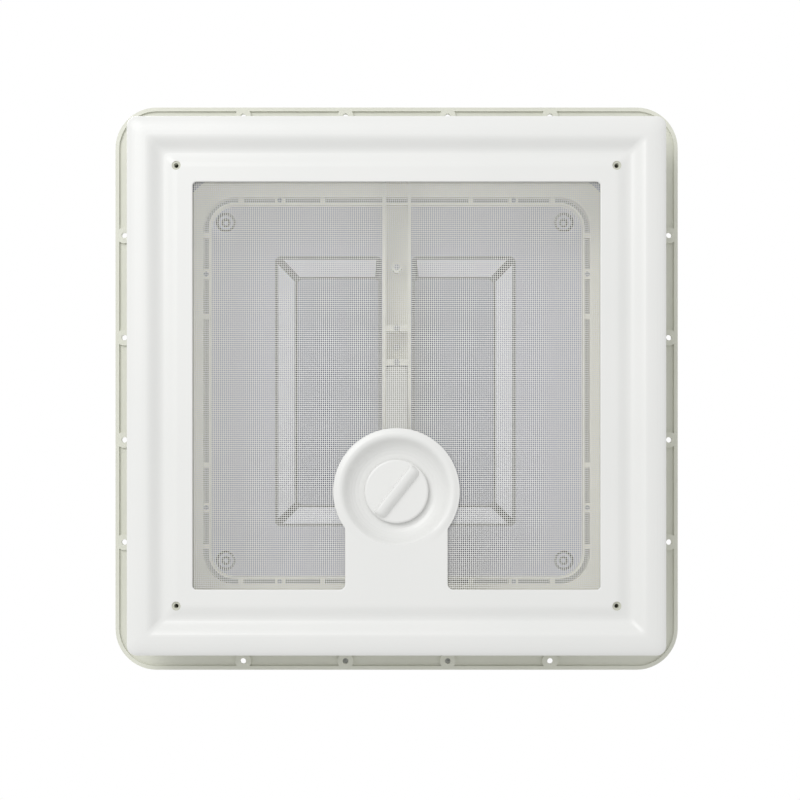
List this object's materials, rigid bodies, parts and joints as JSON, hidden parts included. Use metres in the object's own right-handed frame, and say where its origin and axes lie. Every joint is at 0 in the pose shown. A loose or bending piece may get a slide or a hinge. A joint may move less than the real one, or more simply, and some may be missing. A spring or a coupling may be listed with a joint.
{
  "type": "roof vent",
  "caption": "Square roof vent for a caravan: a flanged base with a ribbed lid that hinges open on a worm-driven arm, and an interior trim frame with an insect screen and a knob.",
  "frame": {"origin": "centre of the roof opening, on the roof's outer surface under the flange", "axes": "+Z out of the roof, +Y toward the hinge and the knob, and the lid opens at the -Y side"},
  "size_m": [0.4506, 0.4506, 0.1101],
  "materials": {
    "base_plastic": "satin moulded",
    "trim_plastic": "semi-gloss moulded",
    "lid_plastic": "satin moulded, slightly translucent",
    "rail_plastic": "satin moulded",
    "arm_plastic": "satin moulded",
    "case_plastic": "satin moulded",
    "gear_nylon": "natural nylon",
    "bush_nylon": "natural nylon",
    "screen_mesh": "woven insect screen",
    "seal_foam": "closed-cell foam",
    "hinge_metal": "cast, satin",
    "shaft_metal": "machined",
    "steel": "zinc plated"
  },
  "bodies": {
    "base": {"base_frame": "base_plastic", "curb_seal": "seal_foam", "trim_ring": "trim_plastic", "insect_screen": "screen_mesh", "gearbox_left": "case_plastic", "gearbox_right": "case_plastic", "gearbox_joint_screws": "steel", "gearbox_mount_screws": "steel", "shaft_bush_lower": "bush_nylon", "shaft_bush_upper": "bush_nylon", "axle_bush_left": "bush_nylon", "axle_bush_right": "bush_nylon", "hinge_pin_left": "steel", "hinge_pin_right": "steel", "hinge_clip_left": "steel", "hinge_clip_right": "steel"},
    "lid": {"lid_dome": "lid_plastic", "lid_frame": "lid_plastic", "lid_rail": "rail_plastic", "lid_frame_screws": "steel", "rail_screws": "steel", "hinge_arm_left": "hinge_metal", "hinge_arm_right": "hinge_metal", "hinge_arm_screws": "steel"},
    "arm": {"lift_arm": "arm_plastic", "gear_sector": "gear_nylon", "arm_axle": "steel", "arm_axle_clips": "steel", "roller_pin": "steel"},
    "rollers": {"roller_left": "bush_nylon", "roller_right": "bush_nylon"},
    "knob_shaft": {"knob": "trim_plastic", "worm_shaft": "shaft_metal", "thrust_washer": "steel"}
  },
  "joints": [
    {"name": "lid_hinge", "type": "hinge", "parent": "base", "child": "lid", "pos_m": [0, 0.212, 0.017], "axis": [-1, 0, 0], "range_deg": [0, 50]},
    {"name": "arm_lift", "type": "hinge", "parent": "base", "child": "arm", "pos_m": [0, 0.117, 0.002], "axis": [-1, 0, 0], "range_deg": [0, 85]},
    {"name": "roller_spin", "type": "hinge", "parent": "arm", "child": "rollers", "pos_m": [0, -0.012, 0.03], "axis": [1, 0, 0], "continuous": true},
    {"name": "knob_turn", "type": "hinge", "parent": "base", "child": "knob_shaft", "pos_m": [0, 0.082, 0.002], "axis": [0, 0, -1], "range_deg": [0, 3060]}
  ],
  "couplings": [
    {"joint": "arm_lift", "follows": "lid_hinge", "ratio": 1.7},
    {"joint": "knob_turn", "follows": "lid_hinge", "ratio": 61.2}
  ]
}
